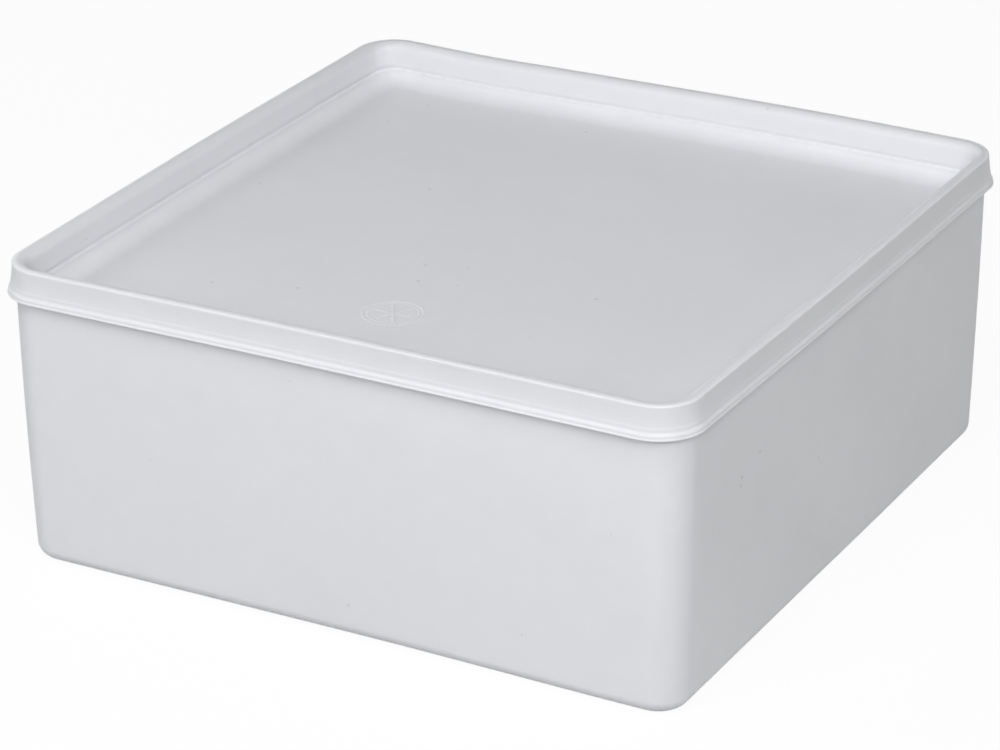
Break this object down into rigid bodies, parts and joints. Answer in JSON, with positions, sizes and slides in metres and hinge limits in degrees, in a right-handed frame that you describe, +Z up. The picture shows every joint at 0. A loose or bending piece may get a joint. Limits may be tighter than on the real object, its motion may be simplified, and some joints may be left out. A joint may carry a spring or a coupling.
{
  "type": "freezer container",
  "caption": "Square food freezer box: a drafted, open tub with a press-on lid that has a raised rim and a recessed panel.",
  "frame": {"origin": "middle of the tub's foot, on the surface that it stands on", "axes": "+Z up; -Y is the wall nearest to the moulded mark on the lid; +X is to the right of it"},
  "size_m": [0.2434, 0.2434, 0.1025],
  "materials": {
    "tub_plastic": "milky translucent polyethylene, fine matt",
    "lid_plastic": "milky translucent soft polyethylene, satin"
  },
  "bodies": {
    "tub": {"tub": "tub_plastic"},
    "lid": {"lid": "lid_plastic"}
  },
  "joints": [
    {"name": "lid_lift", "type": "slide", "parent": "tub", "child": "lid", "axis": [0, 0, 1], "range_m": [0, 0.05]}
  ]
}
